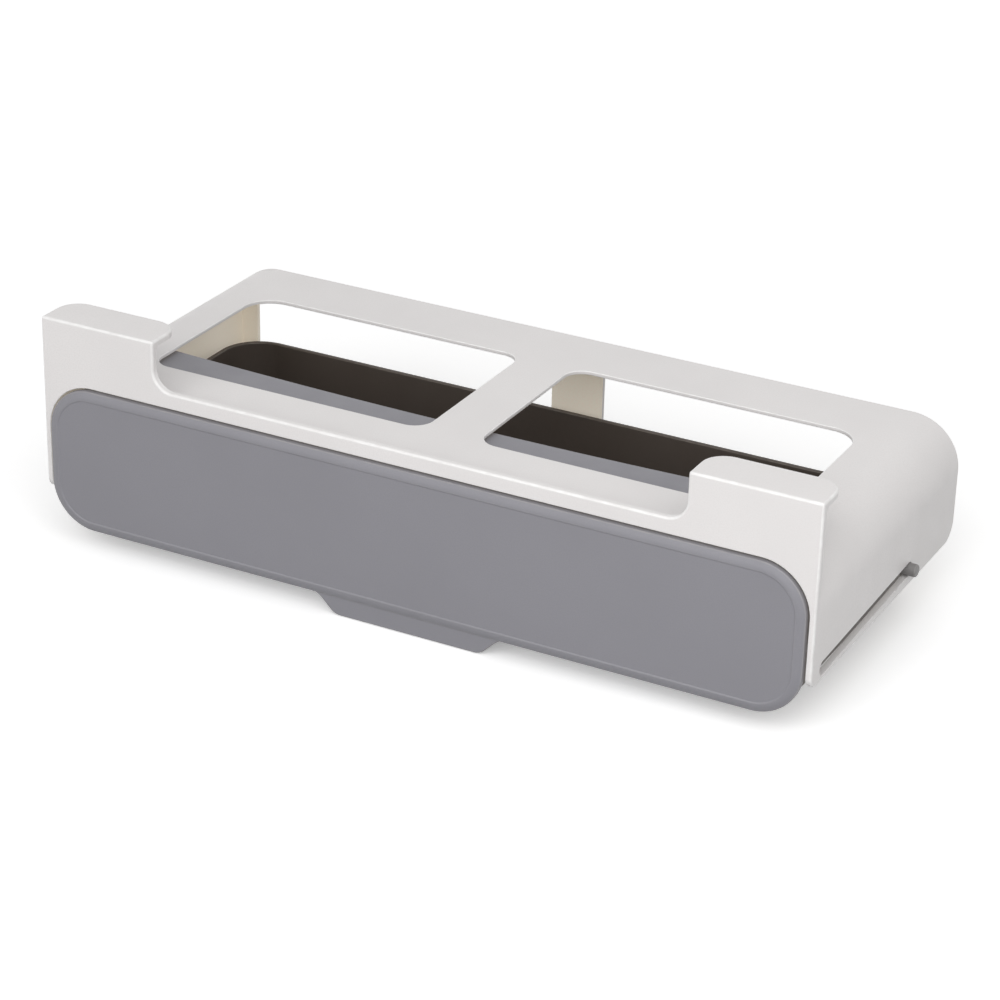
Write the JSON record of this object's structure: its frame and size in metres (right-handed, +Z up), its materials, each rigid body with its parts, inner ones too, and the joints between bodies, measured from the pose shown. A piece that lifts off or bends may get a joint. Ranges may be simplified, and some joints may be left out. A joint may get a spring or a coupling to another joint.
{
  "type": "under-shelf spice rack",
  "caption": "Under-shelf rack: a white frame that hooks over a shelf's front edge, with a grey drawer for jars that slides out and tips down.",
  "frame": {"origin": "centre of the frame's top face, on the bar between the windows, where it lies against the underside of the shelf", "axes": "+Z up, out of the top face into the shelf; +Y to the back; -Y is the drawer's front; +X along the rack's width"},
  "size_m": [0.329, 0.1425, 0.0933],
  "materials": {
    "white_plastic": "satin white, fine moulded grain",
    "grey_plastic": "satin mid grey, fine moulded grain",
    "charcoal_plastic": "satin warm dark grey",
    "pin_plastic": "satin mid grey"
  },
  "bodies": {
    "frame": {"frame": "white_plastic"},
    "pivot_pins": {"pivot_pin_left": "pin_plastic", "pivot_pin_right": "pin_plastic"},
    "drawer": {"drawer_front": "grey_plastic", "drawer_tray": "charcoal_plastic"}
  },
  "joints": [
    {"name": "drawer_slide", "type": "slide", "parent": "frame", "child": "pivot_pins", "axis": [0, -0.9996, -0.0279], "range_m": [0, 0.0828]},
    {"name": "drawer_tilt", "type": "hinge", "parent": "pivot_pins", "child": "drawer", "pos_m": [0, 0.02275, -0.0413], "axis": [1, 0, 0], "range_deg": [0, 45]}
  ]
}
